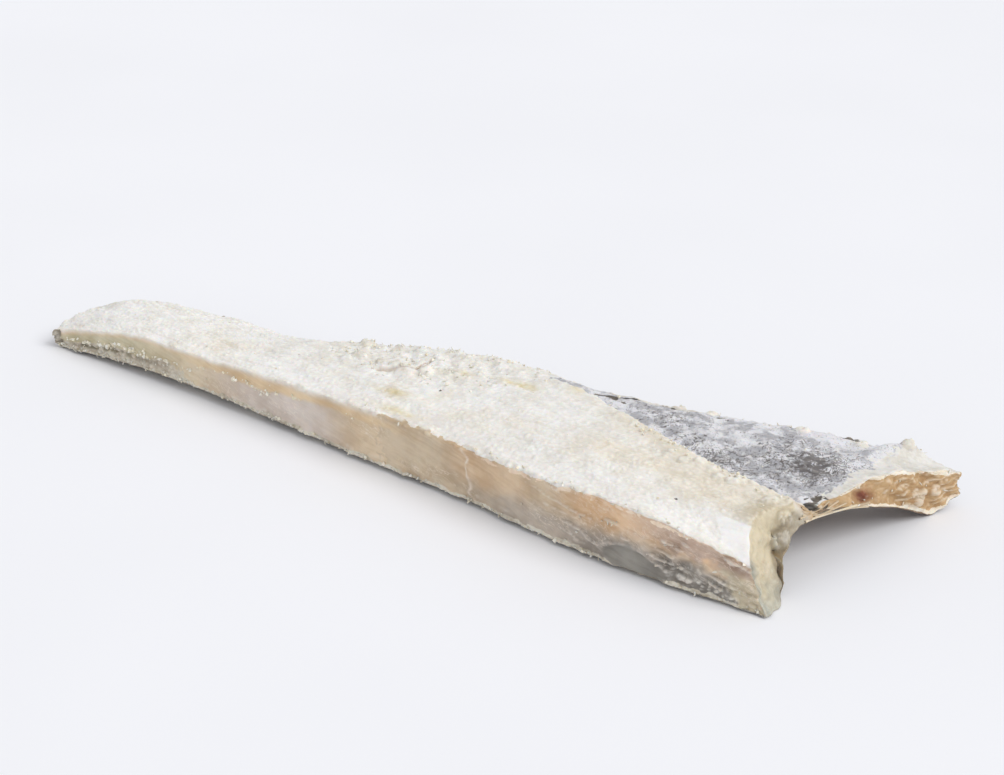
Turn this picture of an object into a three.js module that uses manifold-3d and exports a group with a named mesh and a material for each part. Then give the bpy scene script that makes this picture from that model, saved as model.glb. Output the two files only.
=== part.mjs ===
// One lengthwise half of a split, boned and salted cod, lying flesh side up.
// Units are millimetres. X runs from the tail to the head end, Y from the straight cut face
// of the thick loin to the outer edge of the thin belly flap, and Z points up from the skin.
// A point of the body is named by three shares from 0 to 1: s along the fish from the tail,
// c across it from the cut face (0) over the crest of the loin (0.5) to the flap's edge (1),
// and h up through it from the skin (0) to the flesh (1).

import * as THREE from 'three';
import { mergeVertices } from 'three/addons/utils/BufferGeometryUtils.js';
import Module from 'manifold-3d';

// Driving dimensions
const LENGTH = 536;
const WIDTH = 170;
const HEIGHT = 42;

// Steps of the body's grid along, across and up
const GRID = { along: 84, across: 20, up: 3 };

// Plan of the piece: Y of each line at nine even stations from the tail to the head end
const PLAN = {
  cutFace: [0, 3, 3.5, 3, 1, 0, -5, -6, 0],
  restEdge: [12, 32, 38, 48, 56, 58, 46, 32, 22],
  crest: [26, 42, 50, 66, 86, 95, 75, 57, 46],
  outerEdge: [46, 71, 74, 92, 107, 112, 121, 133, 160],
};

// Height of the flesh at five even shares across, at the same nine stations
const FLESH = [
  [12, 25, 28, 31, 34, 34, 36, 38, 26],
  [14, 27, 28, 32, 35, 37, 38, 38.5, 38],
  [14, 25, 25, 31, 36.5, 37, 38, 38, 38],
  [14, 22, 22, 26, 31, 31, 33, 34, 36],
  [11, 16, 17, 18, 21, 25.5, 29, 32.5, 20],
];

// Height of the skin at the cut face, the crest, halfway out on the flap and its outer edge.
// The last edge value lies under the ground, so the flap's end stands on it before its edge.
const SKIN = {
  cutFace: [0.5, 5, 6, 4, 0, 0, 0, 0, 0],
  crest: [1, 4, 4, 5, 9, 14, 20, 25, 30],
  flap: [2, 6, 7, 8, 12, 17, 22, 25, 19],
  outerEdge: [3, 9, 9, 9, 12, 16, 22, 22, -12],
};

// X of the two ends at five even shares across
const TAIL_END = [-254, -256, -254, -248, -238];
const HEAD_END = { flesh: [243, 231, 240, 256, 276], skin: [253, 253, 246, 262, 276] };

// The loin rests flat on the ground over this share across, and its skin then curves up
const REST_SHARE = 0.35;
const SKIN_LIFT_WIDTH = 12;

// The far corner of the flap curls up from the ground
const CORNER_CURL = { height: 5, across: [0.9, 1], along: [0.93, 1] };

// The torn edge of the loin stands this far above the lining of the flap. The step begins along
// the fish over one stretch, drops across it over the next, and evens out over the last.
const LINING_STEP = { height: 6, along: [0.6, 0.74], drop: [0.5, 0.56], recover: [0.56, 0.85] };

// The loin's flesh bulges a little along the top of that step
const STEP_LIP = { height: 1.8, rise: [0.4, 0.5], fall: [0.5, 0.52] };

// Broad swellings and hollows of the flesh: place, reach and height
const SWELLINGS = [
  { s: 0.05, c: 0.72, along: 0.055, across: 0.3, height: 7.5 },
  { s: 0.952, c: 0.97, along: 0.018, across: 0.12, height: 8 },
  { s: 0.44, c: 0.46, along: 0.03, across: 0.03, height: -3 },
  { s: 0.5, c: 0.3, along: 0.02, across: 0.05, height: 1.5 },
];

// Unevenness of each side: its depth, and the lengths over which its pattern repeats
const UNEVEN = {
  flesh: { depth: 0.7, lengths: [90, 23] },
  mound: { depth: 1.3, lengths: [31, 27] },
  lining: { depth: 1, lengths: [43, 37] },
  cutFace: { depth: 1.1, lengths: [37, 29] },
  outerEdge: { depth: 1.8, lengths: [33, 24] },
  ends: { depth: 2.2, lengths: [29, 21] },
  underside: { depth: 0.7, lengths: [47, 33] },
};

// Where the lining of the flap and the coarse mound of flesh fade in and out, as shares
const LINING = { across: [0.5, 0.56], along: [0.56, 0.68] };
const MOUND = { across: [0.15, 0.35], begin: [0.34, 0.42], end: [0.56, 0.66] };

// Skin lower than the first height is left smooth, so that the piece rests flat
const SMOOTH_SKIN_HEIGHT = [2, 9];

// Rough crags of salt and torn flesh: count, reach along and across the body, and half sizes
const CRAG_ROWS = [
  { name: 'skin fringe', count: 20, s: [0.1, 0.98], c: [0, 0], h: [0.12, 0.2], size: [5, 2.2, 1.8] },
  { name: 'upper rim', count: 14, s: [0.12, 0.9], c: [0, 0.03], h: [1, 1], size: [5, 2.4, 1.8] },
  { name: 'salt at the step', count: 8, s: [0.84, 0.97], c: [0.44, 0.49], h: [1, 1], size: [3.6, 3, 2.4] },
  { name: 'mound', count: 8, s: [0.38, 0.56], c: [0.3, 0.6], h: [1, 1], size: [5, 4, 2.4] },
  { name: 'outer edge', count: 8, s: [0.64, 0.97], c: [0.98, 1], h: [0.8, 1], size: [4, 2.6, 2.4] },
  { name: 'head face', count: 6, s: [1, 1], c: [0.1, 0.42], h: [0.2, 0.8], size: [2.4, 3.4, 3.4] },
  { name: 'flap end', count: 8, s: [0.995, 1], c: [0.6, 0.95], h: [0.1, 0.8], size: [4, 3.4, 2.4] },
];

// Larger lumps: one hangs on the side of the loin at the head end, the others stand along the
// outer edge of the flap, with the tallest at its peak
const LUMPS = [
  { s: 0.99, c: 0.46, h: 0.3, size: [5, 6, 7] },
  { s: 0.953, c: 0.985, h: 1, size: [4, 3.5, 4.5] },
  { s: 0.909, c: 0.985, h: 1, size: [4.5, 3.5, 3] },
  { s: 0.851, c: 0.985, h: 1, size: [4.5, 3.5, 3] },
];

// How far a crag's corners, size and turn vary
const CRAG_VARIATION = { reach: [0.6, 1.2], scale: [0.5, 1.3], turn: [-0.7, 0.7] };

const RANDOM_SEED = 7;

function between(range, share) {
  return THREE.MathUtils.lerp(range[0], range[1], share);
}

// Rises smoothly from 0 to 1 over a range of the value
function fade(range, value) {
  return THREE.MathUtils.smoothstep(value, range[0], range[1]);
}

// A smooth curve through evenly spaced values, read at a share from 0 to 1
function curve(values, share) {
  const last = values.length - 1;
  const place = THREE.MathUtils.clamp(share, 0, 1) * last;
  const index = Math.min(Math.floor(place), last - 1);
  const part = place - index;
  const here = values[index];
  const next = values[index + 1];
  const before = index > 0 ? values[index - 1] : 2 * here - next;
  const after = index + 2 <= last ? values[index + 2] : 2 * next - here;
  const slope = next - before;
  const bend = 2 * before - 5 * here + 4 * next - after;
  const twist = 3 * here - before - 3 * next + after;
  return here + 0.5 * part * (slope + part * (bend + part * twist));
}

// The unevenness of a side at two places on it, from three crossing waves
function uneven(side, u, v) {
  const a = (2 * Math.PI * u) / side.lengths[0];
  const b = (2 * Math.PI * v) / side.lengths[1];
  const broad = Math.sin(a + 0.8 * Math.sin(b)) * Math.cos(b - 0.6 * Math.sin(0.7 * a));
  const middle = Math.sin(2.1 * a + 1.7 * b + 0.6);
  const small = Math.sin(3.3 * b - 2.9 * a + 2.1);
  return side.depth * (0.5 * broad + 0.3 * middle + 0.2 * small);
}

// Height that the broad swellings and hollows add to the flesh
function swelling(s, c) {
  let height = 0;
  for (const spot of SWELLINGS) {
    const u = (s - spot.s) / spot.along;
    const v = (c - spot.c) / spot.across;
    height += spot.height * Math.exp(-u * u - v * v);
  }
  return height;
}

// Height of the flesh, with the step down from the torn loin to the lining of the flap
function fleshHeight(s, c) {
  const sections = FLESH.map((values) => curve(values, s));
  const drop = LINING_STEP.height * fade(LINING_STEP.drop, c) * (1 - fade(LINING_STEP.recover, c));
  const lip = STEP_LIP.height * fade(STEP_LIP.rise, c) * (1 - fade(STEP_LIP.fall, c));
  return curve(sections, c) + fade(LINING_STEP.along, s) * (lip - drop) + swelling(s, c);
}

// Y and Z of the skin: flat under the loin, up round its side, then out under the flap
function skinPoint(s, c, fleshY) {
  const faceY = curve(PLAN.cutFace, s);
  const restY = curve(PLAN.restEdge, s);
  const crestY = curve(PLAN.crest, s);
  const faceLift = Math.max(curve(SKIN.cutFace, s), 0);
  const crestLift = curve(SKIN.crest, s);
  if (c < REST_SHARE) {
    const y = THREE.MathUtils.lerp(faceY, restY, c / REST_SHARE);
    return { y, z: faceLift * (1 - fade([0, SKIN_LIFT_WIDTH], y - faceY)) };
  }
  if (c < 0.5) {
    const up = (c - REST_SHARE) / (0.5 - REST_SHARE);
    return { y: THREE.MathUtils.lerp(restY, crestY, up * up), z: crestLift * up * (2 - up) };
  }
  const sections = [faceLift, 0, crestLift, curve(SKIN.flap, s), curve(SKIN.outerEdge, s)];
  const curl = CORNER_CURL.height * fade(CORNER_CURL.across, c) * fade(CORNER_CURL.along, s);
  return { y: fleshY, z: Math.max(curve(sections, c), 0) + curl };
}

// A point of the smooth body
function smoothPoint(s, c, h) {
  const faceY = curve(PLAN.cutFace, s);
  const crestY = curve(PLAN.crest, s);
  const outerY = curve(PLAN.outerEdge, s);
  const fleshY = c < 0.5
    ? THREE.MathUtils.lerp(faceY, crestY, 2 * c)
    : THREE.MathUtils.lerp(crestY, outerY, 2 * c - 1);
  const skin = skinPoint(s, c, fleshY);
  const headX = THREE.MathUtils.lerp(curve(HEAD_END.skin, c), curve(HEAD_END.flesh, c), h);
  return new THREE.Vector3(
    THREE.MathUtils.lerp(curve(TAIL_END, c), headX, s),
    THREE.MathUtils.lerp(skin.y, fleshY, h),
    THREE.MathUtils.lerp(skin.z, fleshHeight(s, c), h),
  );
}

// A point of the surface, with the unevenness of the side that it lies on
function bodyPoint(s, c, h) {
  const point = smoothPoint(s, c, h);
  const { x, y, z } = point;
  if (h === 1) {
    const onLining = fade(LINING.across, c) * fade(LINING.along, s);
    const onMound = fade(MOUND.across, c) * fade(MOUND.begin, s) * (1 - fade(MOUND.end, s));
    point.z += (1 - onLining) * uneven(UNEVEN.flesh, x, y);
    point.z += onMound * uneven(UNEVEN.mound, x, y);
    point.z += onLining * uneven(UNEVEN.lining, x, y);
  }
  if (h === 0) {
    point.z += fade(SMOOTH_SKIN_HEIGHT, z) * (uneven(UNEVEN.underside, x, y) - UNEVEN.underside.depth);
  }
  if (c === 0) {
    point.y += uneven(UNEVEN.cutFace, x, z);
  }
  if (c === 1) {
    point.y += uneven(UNEVEN.outerEdge, x, z);
  }
  if (s === 0 || s === 1) {
    point.x += uneven(UNEVEN.ends, y, z);
  }
  return point;
}

// The body's closed skin: a box's grid of points, each laid on the fish
function bodyGeometry() {
  const geometry = new THREE.BoxGeometry(1, 1, 1, GRID.along, GRID.across, GRID.up);
  const position = geometry.getAttribute('position');
  for (let i = 0; i < position.count; i += 1) {
    const s = Math.round((position.getX(i) + 0.5) * GRID.along) / GRID.along;
    const c = Math.round((position.getY(i) + 0.5) * GRID.across) / GRID.across;
    const h = Math.round((position.getZ(i) + 0.5) * GRID.up) / GRID.up;
    const point = bodyPoint(s, c, h);
    position.setXYZ(i, point.x, point.y, point.z);
  }
  return geometry;
}

// Random numbers from 0 to 1 that are the same on every run
function makeRandom(seed) {
  let state = seed;
  return () => {
    state = (state * 16807) % 2147483647;
    return state / 2147483647;
  };
}

// A rough crag about a centre: a coarse ball with uneven corners, turned about the upright axis
function cragGeometry(centre, size, turn, random) {
  const geometry = mergeVertices(bareGeometry(new THREE.IcosahedronGeometry(1, 0)));
  const position = geometry.getAttribute('position');
  for (let i = 0; i < position.count; i += 1) {
    const reach = between(CRAG_VARIATION.reach, random());
    position.setXYZ(
      i,
      position.getX(i) * size[0] * reach,
      position.getY(i) * size[1] * reach,
      position.getZ(i) * size[2] * reach,
    );
  }
  geometry.rotateZ(turn);
  const clearance = 1.05 * CRAG_VARIATION.reach[1] * size[2];
  geometry.translate(centre.x, centre.y, Math.max(centre.z, clearance));
  return geometry;
}

function bareGeometry(geometry) {
  geometry.deleteAttribute('normal');
  geometry.deleteAttribute('uv');
  return geometry;
}

// Every crag, spread evenly along its row with some variation, and the larger lumps
function cragGeometries() {
  const random = makeRandom(RANDOM_SEED);
  const crags = [];
  for (const row of CRAG_ROWS) {
    for (let i = 0; i < row.count; i += 1) {
      const share = (i + 0.2 + 0.6 * random()) / row.count;
      const centre = bodyPoint(between(row.s, share), between(row.c, random()), between(row.h, random()));
      const scale = between(CRAG_VARIATION.scale, random());
      const size = row.size.map((half) => half * scale);
      const turn = between(CRAG_VARIATION.turn, random());
      crags.push(cragGeometry(centre, size, turn, random));
    }
  }
  for (const lump of LUMPS) {
    crags.push(cragGeometry(smoothPoint(lump.s, lump.c, lump.h), lump.size, 0, random));
  }
  return crags;
}

const wasm = await Module();
wasm.setup();

function solidOf(geometry) {
  const merged = mergeVertices(bareGeometry(geometry));
  return new wasm.Manifold(new wasm.Mesh({
    numProp: 3,
    vertProperties: new Float32Array(merged.getAttribute('position').array),
    triVerts: new Uint32Array(merged.getIndex().array),
  }));
}

function geometryOf(solid) {
  const mesh = solid.getMesh();
  const geometry = new THREE.BufferGeometry();
  geometry.setAttribute('position', new THREE.BufferAttribute(mesh.vertProperties, 3));
  geometry.setIndex(new THREE.BufferAttribute(mesh.triVerts, 1));
  return geometry;
}

// The whole piece, brought to its driving size, centred in plan and standing on Z = 0
function saltCodGeometry() {
  let solid = solidOf(bodyGeometry());
  for (const crag of cragGeometries()) {
    solid = solid.add(solidOf(crag));
  }
  const geometry = geometryOf(solid);
  geometry.computeBoundingBox();
  const size = geometry.boundingBox.getSize(new THREE.Vector3());
  const centre = geometry.boundingBox.getCenter(new THREE.Vector3());
  geometry.translate(-centre.x, -centre.y, -geometry.boundingBox.min.z);
  geometry.scale(LENGTH / size.x, WIDTH / size.y, HEIGHT / size.z);
  geometry.computeVertexNormals();
  return geometry;
}

function saltCodMesh() {
  const material = new THREE.MeshStandardMaterial({ color: 0xd8cfba, roughness: 0.55, metalness: 0 });
  const mesh = new THREE.Mesh(saltCodGeometry(), material);
  mesh.name = 'salt_cod';
  return mesh;
}

const piece = new THREE.Group();
piece.add(saltCodMesh());

export default piece;
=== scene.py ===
import math
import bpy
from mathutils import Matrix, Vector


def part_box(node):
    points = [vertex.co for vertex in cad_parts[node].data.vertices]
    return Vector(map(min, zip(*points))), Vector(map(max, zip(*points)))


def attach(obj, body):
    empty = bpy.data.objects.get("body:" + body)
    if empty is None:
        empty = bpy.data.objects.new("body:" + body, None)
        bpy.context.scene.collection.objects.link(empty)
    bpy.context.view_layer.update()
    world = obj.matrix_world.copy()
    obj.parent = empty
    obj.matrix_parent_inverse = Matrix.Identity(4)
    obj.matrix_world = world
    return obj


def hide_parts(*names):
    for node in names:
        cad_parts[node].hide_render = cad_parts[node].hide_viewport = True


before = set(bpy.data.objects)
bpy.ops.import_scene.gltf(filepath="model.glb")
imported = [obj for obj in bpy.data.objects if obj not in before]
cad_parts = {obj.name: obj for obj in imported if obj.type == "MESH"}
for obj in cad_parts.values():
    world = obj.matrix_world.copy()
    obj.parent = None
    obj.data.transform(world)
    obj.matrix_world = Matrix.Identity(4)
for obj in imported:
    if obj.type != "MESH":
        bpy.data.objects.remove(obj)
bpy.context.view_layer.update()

from types import SimpleNamespace
import bpy
import numpy as np
from mathutils import Quaternion, Vector

NODE = "salt_cod"

# The fish is described in millimetres in its own plan, X from the tail to the head end, Y from
# the cut face to the flap's outer edge and Z up, and is brought to the frame's box at the end.
# s, c and h are shares along it from the tail, across it from the cut face, and up from the skin.
FISH_LOW = np.array((-257.4, -10.0, 0))
FISH_HIGH = np.array((277.0, 160.7, 42.4))
GRID = np.array((620, 176, 40))
PLAN = {
    "cut_face": (0, 3, 3.5, 3, 1, 0, -5, -6, 0),
    "rest_edge": (12, 32, 38, 48, 56, 58, 46, 32, 22),
    "crest": (26, 42, 50, 66, 86, 95, 75, 57, 46),
    "outer_edge": (46, 71, 74, 92, 107, 112, 121, 133, 160),
}
FLESH = (
    (12, 25, 28, 31, 34, 34, 36, 38, 26),
    (14, 27, 28, 32, 35, 37, 38, 38.5, 38),
    (14, 25, 25, 31, 36.5, 37, 38, 38, 38),
    (14, 22, 22, 26, 31, 31, 33, 34, 36),
    (11, 16, 17, 18, 21, 25.5, 29, 32.5, 20),
)
SKIN = {
    "cut_face": (0.5, 5, 6, 4, 2.4, 2.4, 1.8, 2, 1),
    "crest": (1, 4, 4, 5, 9, 14, 20, 25, 30),
    "flap": (2, 6, 7, 8, 12, 17, 22, 25, 19),
    "outer_edge": (3, 9, 9, 9, 12, 16, 22, 22, -12),
}
TAIL_END = (-254, -256, -254, -248, -238)
HEAD_END = {"flesh": (243, 231, 240, 256, 276), "skin": (253, 253, 246, 262, 276)}
REST_SHARE = 0.35
SKIN_LIFT_WIDTH = 12
CORNER_CURL = {"height": 5, "across": (0.9, 1), "along": (0.93, 1)}
LINING_STEP = {"height": 6, "along": (0.6, 0.74), "drop": (0.5, 0.56), "recover": (0.56, 0.85)}
STEP_LIP = {"height": 1.8, "rise": (0.4, 0.5), "fall": (0.5, 0.52)}
# Swellings and hollows of the flesh: s and c of the middle, the reach along and across, and height
SWELLINGS = (
    (0.05, 0.72, 0.055, 0.3, 7.5),
    (0.952, 0.97, 0.018, 0.12, 8),
    (0.44, 0.46, 0.03, 0.03, -3),
    (0.5, 0.3, 0.02, 0.05, 1.5),
)
# Broad unevenness of each side: depth, and the length of a wave each way
UNEVEN = {
    "flesh": (0.7, 90, 23),
    "mound": (1.3, 31, 27),
    "lining": (1, 43, 37),
    "cut_face": (1.1, 37, 29),
    "outer_edge": (1.8, 33, 24),
    "ends": (2.2, 29, 21),
    "underside": (0.7, 47, 33),
}
LINING = {"across": (0.5, 0.56), "along": (0.56, 0.68)}
MOUND = {"across": (0.15, 0.35), "begin": (0.34, 0.42), "end": (0.56, 0.66)}
SMOOTH_SKIN_HEIGHT = (2, 9)

# Rough crags of salt and torn flesh: count, reach in s, c and h, half sizes, and how far each
# stands out. In order: skin fringe, upper rim, salt at the step, mound, outer edge, the loin's
# end and the flap's end.
CRAG_ROWS = (
    (20, (0.1, 0.98), (0, 0), (0.12, 0.2), (5, 2.2, 1.8), 0.8),
    (14, (0.12, 0.9), (0, 0.03), (1, 1), (5, 2.4, 1.8), 0.7),
    (8, (0.84, 0.97), (0.44, 0.49), (1, 1), (3.6, 3, 2.4), 0.6),
    (8, (0.38, 0.56), (0.3, 0.6), (1, 1), (5, 4, 2.4), 0.9),
    (8, (0.64, 0.97), (0.98, 1), (0.8, 1), (4, 2.6, 2.4), 0.6),
    (6, (1, 1), (0.1, 0.42), (0.2, 0.8), (2.4, 3.4, 3.4), 0.25),
    (8, (0.995, 1), (0.6, 0.95), (0.1, 0.8), (4, 3.4, 2.4), 0.7),
)
# Lumps, s, c and h and half sizes: the solid's four first, then small ones at the loin's corner,
# the step and the tail's tip
LUMPS = (
    ((0.99, 0.46, 0.3), (5, 6, 7)),
    ((0.953, 0.985, 1), (4, 3.5, 4.5)),
    ((0.909, 0.985, 1), (4.5, 3.5, 3)),
    ((0.851, 0.985, 1), (4.5, 3.5, 3)),
    ((0.99, 0.44, 0), (5, 6, 6)),
    ((0.985, 0.43, 1), (4, 5, 2)),
    ((0.935, 0.485, 1), (3.5, 2.5, 2.5)),
    ((0.9, 0.47, 1), (3, 2.2, 2)),
    ((0, 0.02, 0.5), (4, 4, 5)),
)
CRAG_SCALE = (0.5, 1.3)
CRAG_TURN = (-0.7, 0.7)
# The solid also draws a random number for each corner of a crag
CRAG_CORNERS = 12
CRAG_SEED = 7


# Curves and noise

def lerp(low, high, part):
    return low + (high - low) * part


def limit(value):
    """Keeps a value within 0 and 1."""
    return np.clip(value, 0, 1)


def fade(low, high, value):
    """Rises smoothly from 0 to 1 as the value goes from low to high."""
    part = limit((value - low) / (high - low))
    return part * part * (3 - 2 * part)


def fall(low, high, value):
    """Falls smoothly from 1 to 0 as the value goes from low to high."""
    return 1 - fade(low, high, value)


def bell(value, middle, reach):
    """1 at the middle, falling away to 0 on both sides over about the reach."""
    return np.exp(-((value - middle) / reach) ** 2)


def cubic(before, here, following, after, part):
    slope = following - before
    bend = 2 * before - 5 * here + 4 * following - after
    twist = 3 * here - before - 3 * following + after
    return here + 0.5 * part * (slope + part * (bend + part * twist))


def curve(values, share):
    """A smooth curve through evenly spaced values. Each value is a number or an array."""
    values = [np.broadcast_to(np.asarray(value, float), share.shape) for value in values]
    last = len(values) - 1
    place = limit(share) * last
    index = np.minimum(place.astype(int), last - 1)
    stack = np.stack([2 * values[0] - values[1]] + values + [2 * values[last] - values[last - 1]])
    near = [np.take_along_axis(stack, (index + k)[None], 0)[0] for k in range(4)]
    return cubic(*near, place - index)


def random_at(cell, seed):
    """A repeatable random number from 0 to 1 for each whole-numbered cell."""
    cell = cell.astype(np.int64)
    value = cell[:, 0] * 374761393 + cell[:, 1] * 668265263 + cell[:, 2] * 2246822519 + seed * 3266489917
    value = (value & 0xFFFFFFFF).astype(np.uint64)
    value = ((value ^ (value >> np.uint64(13))) * np.uint64(1274126177)) & np.uint64(0xFFFFFFFF)
    value = ((value ^ (value >> np.uint64(16))) * np.uint64(2654435761)) & np.uint64(0xFFFFFFFF)
    return (value ^ (value >> np.uint64(15))).astype(float) / 0xFFFFFFFF


def noise(points, size, seed):
    """Smooth noise from -1 to 1 with bumps of about the given size, a number or one for each axis."""
    scaled = points / size
    base = np.floor(scaled)
    part = scaled - base
    part = part * part * (3 - 2 * part)
    total = np.zeros(len(points))
    for corner in np.ndindex(2, 2, 2):
        weight = np.prod(np.where(np.array(corner), part, 1 - part), axis=1)
        total += weight * random_at(base + np.array(corner), seed)
    return 2 * total - 1


def cloud(points, size, seed, octaves=3):
    """Noise from -1 to 1 with finer and finer noise added to it."""
    size = np.asarray(size, float)
    total = np.zeros(len(points))
    for octave in range(octaves):
        total += 0.5 ** octave * noise(points, size / 2 ** octave, seed + octave)
    return total / (2 - 0.5 ** (octaves - 1))


def cells(points, size, seed):
    """Distances to the nearest and next of scattered seeds, in cells, and the nearest's random number."""
    scaled = points / size
    base = np.floor(scaled)
    first = np.full(len(points), 9.0)
    second = first.copy()
    number = np.zeros(len(points))
    for step in np.ndindex(3, 3, 3):
        cell = base + np.array(step) - 1
        seeds = cell + np.stack([random_at(cell, seed + k) for k in range(3)], axis=1)
        distance = np.linalg.norm(seeds - scaled, axis=1)
        closer = distance < first
        second = np.where(closer, first, np.minimum(second, distance))
        number = np.where(closer, random_at(cell, seed + 3), number)
        first = np.where(closer, distance, first)
    return first, second, number


CHUNK_BEND = {"size": 4, "reach": 1.1, "seed": 50}


def chunks(points, size, seed):
    """Heights from 0 to 1 of rough chunks, bent out of their regular rows, with crevices between."""
    bend = [noise(points, CHUNK_BEND["size"], seed + CHUNK_BEND["seed"] + axis) for axis in range(3)]
    first, second, number = cells(points + CHUNK_BEND["reach"] * np.stack(bend, axis=1), size, seed)
    return fade(0.0, 0.5, second - first) * (0.3 + 0.7 * number)


def uneven(side, u, v):
    depth, length_u, length_v = UNEVEN[side]
    a = 2 * math.pi * u / length_u
    b = 2 * math.pi * v / length_v
    broad = np.sin(a + 0.8 * np.sin(b)) * np.cos(b - 0.6 * np.sin(0.7 * a))
    middle = np.sin(2.1 * a + 1.7 * b + 0.6)
    small = np.sin(3.3 * b - 2.9 * a + 2.1)
    return depth * (0.5 * broad + 0.3 * middle + 0.2 * small)


# The smooth body

def flesh_height(s, c):
    height = curve([curve(values, s) for values in FLESH], c)
    drop = fade(*LINING_STEP["drop"], c) * fall(*LINING_STEP["recover"], c)
    lip = fade(*STEP_LIP["rise"], c) * fall(*STEP_LIP["fall"], c)
    step = STEP_LIP["height"] * lip - LINING_STEP["height"] * drop
    height = height + fade(*LINING_STEP["along"], s) * step
    for middle_s, middle_c, along, across, swell in SWELLINGS:
        height = height + swell * bell(s, middle_s, along) * bell(c, middle_c, across)
    return height


def plan_lines(s):
    """Y of the cut face, the rest's edge, the crest and the outer edge."""
    return [curve(values, s) for values in PLAN.values()]


def skin_point(s, c, flesh_y):
    """Y and Z of the skin: flat under the loin, up round its side, then out under the flap."""
    face_y, rest_y, crest_y, _ = plan_lines(s)
    face_lift = np.maximum(curve(SKIN["cut_face"], s), 0)
    crest_lift = curve(SKIN["crest"], s)
    flat_y = lerp(face_y, rest_y, c / REST_SHARE)
    flat_z = face_lift * fall(0, SKIN_LIFT_WIDTH, flat_y - face_y)
    up = limit((c - REST_SHARE) / (0.5 - REST_SHARE))
    side_y = lerp(rest_y, crest_y, up * up)
    side_z = crest_lift * up * (2 - up)
    flap = [face_lift, 0, crest_lift, curve(SKIN["flap"], s), curve(SKIN["outer_edge"], s)]
    curl = CORNER_CURL["height"] * fade(*CORNER_CURL["across"], c) * fade(*CORNER_CURL["along"], s)
    flap_z = np.maximum(curve(flap, c), 0) + curl
    y = np.where(c < REST_SHARE, flat_y, np.where(c < 0.5, side_y, flesh_y))
    z = np.where(c < REST_SHARE, flat_z, np.where(c < 0.5, side_z, flap_z))
    return y, z


def smooth_points(s, c, h):
    face_y, _, crest_y, outer_y = plan_lines(s)
    flesh_y = np.where(c < 0.5, lerp(face_y, crest_y, 2 * c), lerp(crest_y, outer_y, 2 * c - 1))
    skin_y, skin_z = skin_point(s, c, flesh_y)
    head_x = lerp(curve(HEAD_END["skin"], c), curve(HEAD_END["flesh"], c), h)
    x = lerp(curve(TAIL_END, c), head_x, s)
    y = lerp(skin_y, flesh_y, h)
    z = lerp(skin_z, flesh_height(s, c), h)
    return np.stack([x, y, z], axis=1)


def on_mound(s, c):
    return fade(*MOUND["across"], c) * fade(*MOUND["begin"], s) * fall(*MOUND["end"], s)


def body_points(s, c, h):
    """The smooth body with the broad unevenness of each side, as in the solid."""
    points = smooth_points(s, c, h)
    x, y, z = points.T.copy()
    on_lining = fade(*LINING["across"], c) * fade(*LINING["along"], s)
    flesh = (1 - on_lining) * uneven("flesh", x, y) + on_mound(s, c) * uneven("mound", x, y)
    flesh = flesh + on_lining * uneven("lining", x, y)
    under = fade(*SMOOTH_SKIN_HEIGHT, z) * (uneven("underside", x, y) - UNEVEN["underside"][0])
    points[:, 2] += np.where(h == 1, flesh, 0) + np.where(h == 0, under, 0)
    points[:, 1] += np.where(c == 0, uneven("cut_face", x, z), 0)
    points[:, 1] += np.where(c == 1, uneven("outer_edge", x, z), 0)
    points[:, 0] += np.where((s == 0) | (s == 1), uneven("ends", y, z), 0)
    return points


# The body's grid: the outside of a block of GRID cells, its corners numbered once

def block_shell():
    shape = tuple(GRID + 1)
    place = np.indices(shape)
    outside = np.zeros(shape, bool)
    for axis in range(3):
        outside |= (place[axis] == 0) | (place[axis] == GRID[axis])
    number = np.full(shape, -1)
    number[outside] = np.arange(outside.sum())
    quads = []
    for axis in range(3):
        for end in (0, GRID[axis]):
            sheet = np.take(number, end, axis=axis)
            quad = np.stack([sheet[:-1, :-1], sheet[1:, :-1], sheet[1:, 1:], sheet[:-1, 1:]], axis=-1)
            quad = quad.reshape(-1, 4)
            quads.append(quad[:, ::-1] if (end == 0) != (axis == 1) else quad)
    return place[:, outside].T, np.concatenate(quads)


class Links:
    """Which points are joined by an edge, to smooth places or values over the surface."""

    def __init__(self, quads, count):
        edges = np.concatenate([quads[:, [k, (k + 1) % 4]] for k in range(4)])
        edges = np.unique(np.sort(edges, axis=1), axis=0)
        self.ends = np.concatenate([edges[:, 0], edges[:, 1]])
        self.others = np.concatenate([edges[:, 1], edges[:, 0]])
        self.neighbours = np.bincount(self.ends, minlength=count)

    def mean(self, values):
        """The mean of each point's neighbours."""
        return np.bincount(self.ends, values[self.others], len(self.neighbours)) / self.neighbours

    def soften(self, points, weight, rounds):
        """Moves each point towards the middle of its neighbours, by its weight."""
        for _ in range(rounds):
            middle = np.stack([self.mean(points[:, k]) for k in range(3)], axis=1)
            points = points + weight[:, None] * (middle - points)
        return points


def point_normals(points, quads):
    across = points[quads[:, 2]] - points[quads[:, 0]]
    along = points[quads[:, 3]] - points[quads[:, 1]]
    face = np.cross(across, along)
    total = np.zeros_like(points)
    for k in range(4):
        for axis in range(3):
            total[:, axis] += np.bincount(quads[:, k], face[:, axis], len(points))
    return unit(total)


def unit(vectors):
    return vectors / np.maximum(np.linalg.norm(vectors, axis=-1), 1e-9)[..., None]


# How the block's edges are rounded, and the rims that melt into the flesh: steps in from the
# edge, and rounds of smoothing
EDGE_ROUNDING = (2, 4)
RIM_ROUNDING = (9, 24)


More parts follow.
